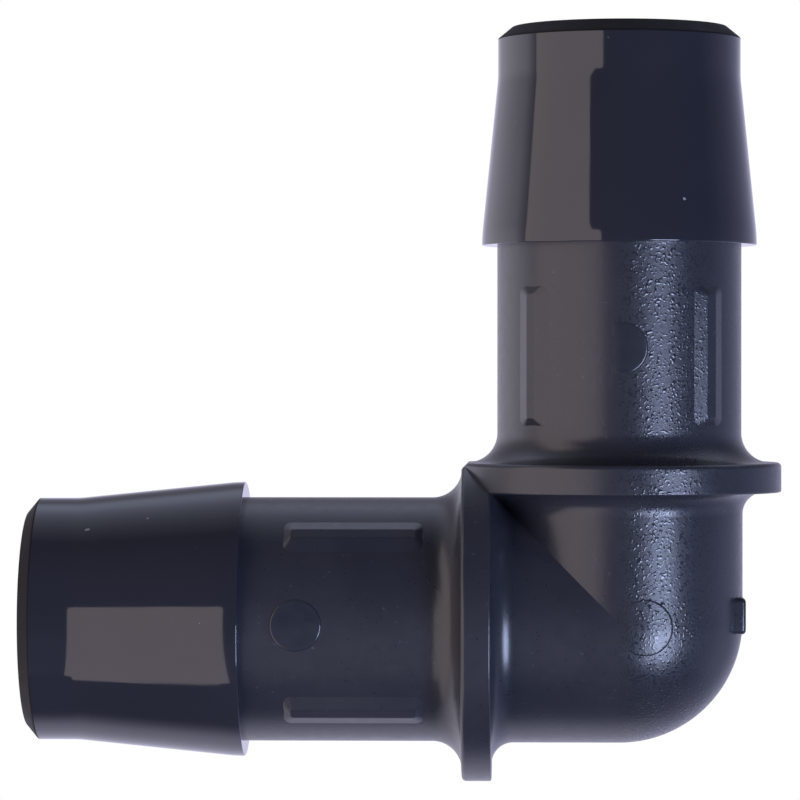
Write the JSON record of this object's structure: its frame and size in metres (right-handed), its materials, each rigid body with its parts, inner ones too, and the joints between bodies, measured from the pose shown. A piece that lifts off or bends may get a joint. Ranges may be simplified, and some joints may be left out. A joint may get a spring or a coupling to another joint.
{
  "type": "barbed elbow hose connector",
  "caption": "Right-angle barbed connector that joins two lengths of watering hose, with a collar at the foot of each hose tail.",
  "frame": {"origin": "where the two bore axes cross, inside the bend", "axes": "+Z out along the upright arm to its mouth, -X out along the side arm to its mouth, Y square to both, so the part is symmetric about the XZ plane apart from the pin marks"},
  "size_m": [0.0587, 0.0252, 0.0587],
  "materials": {
    "satin_nylon": "satin, fine spark-eroded texture",
    "gloss_nylon": "polished"
  },
  "bodies": {
    "root": {"elbow_bend": "satin_nylon", "upright_collar": "satin_nylon", "side_collar": "satin_nylon", "upright_neck": "satin_nylon", "side_neck": "satin_nylon", "upright_barb": "gloss_nylon", "side_barb": "gloss_nylon"}
  },
  "joints": []
}
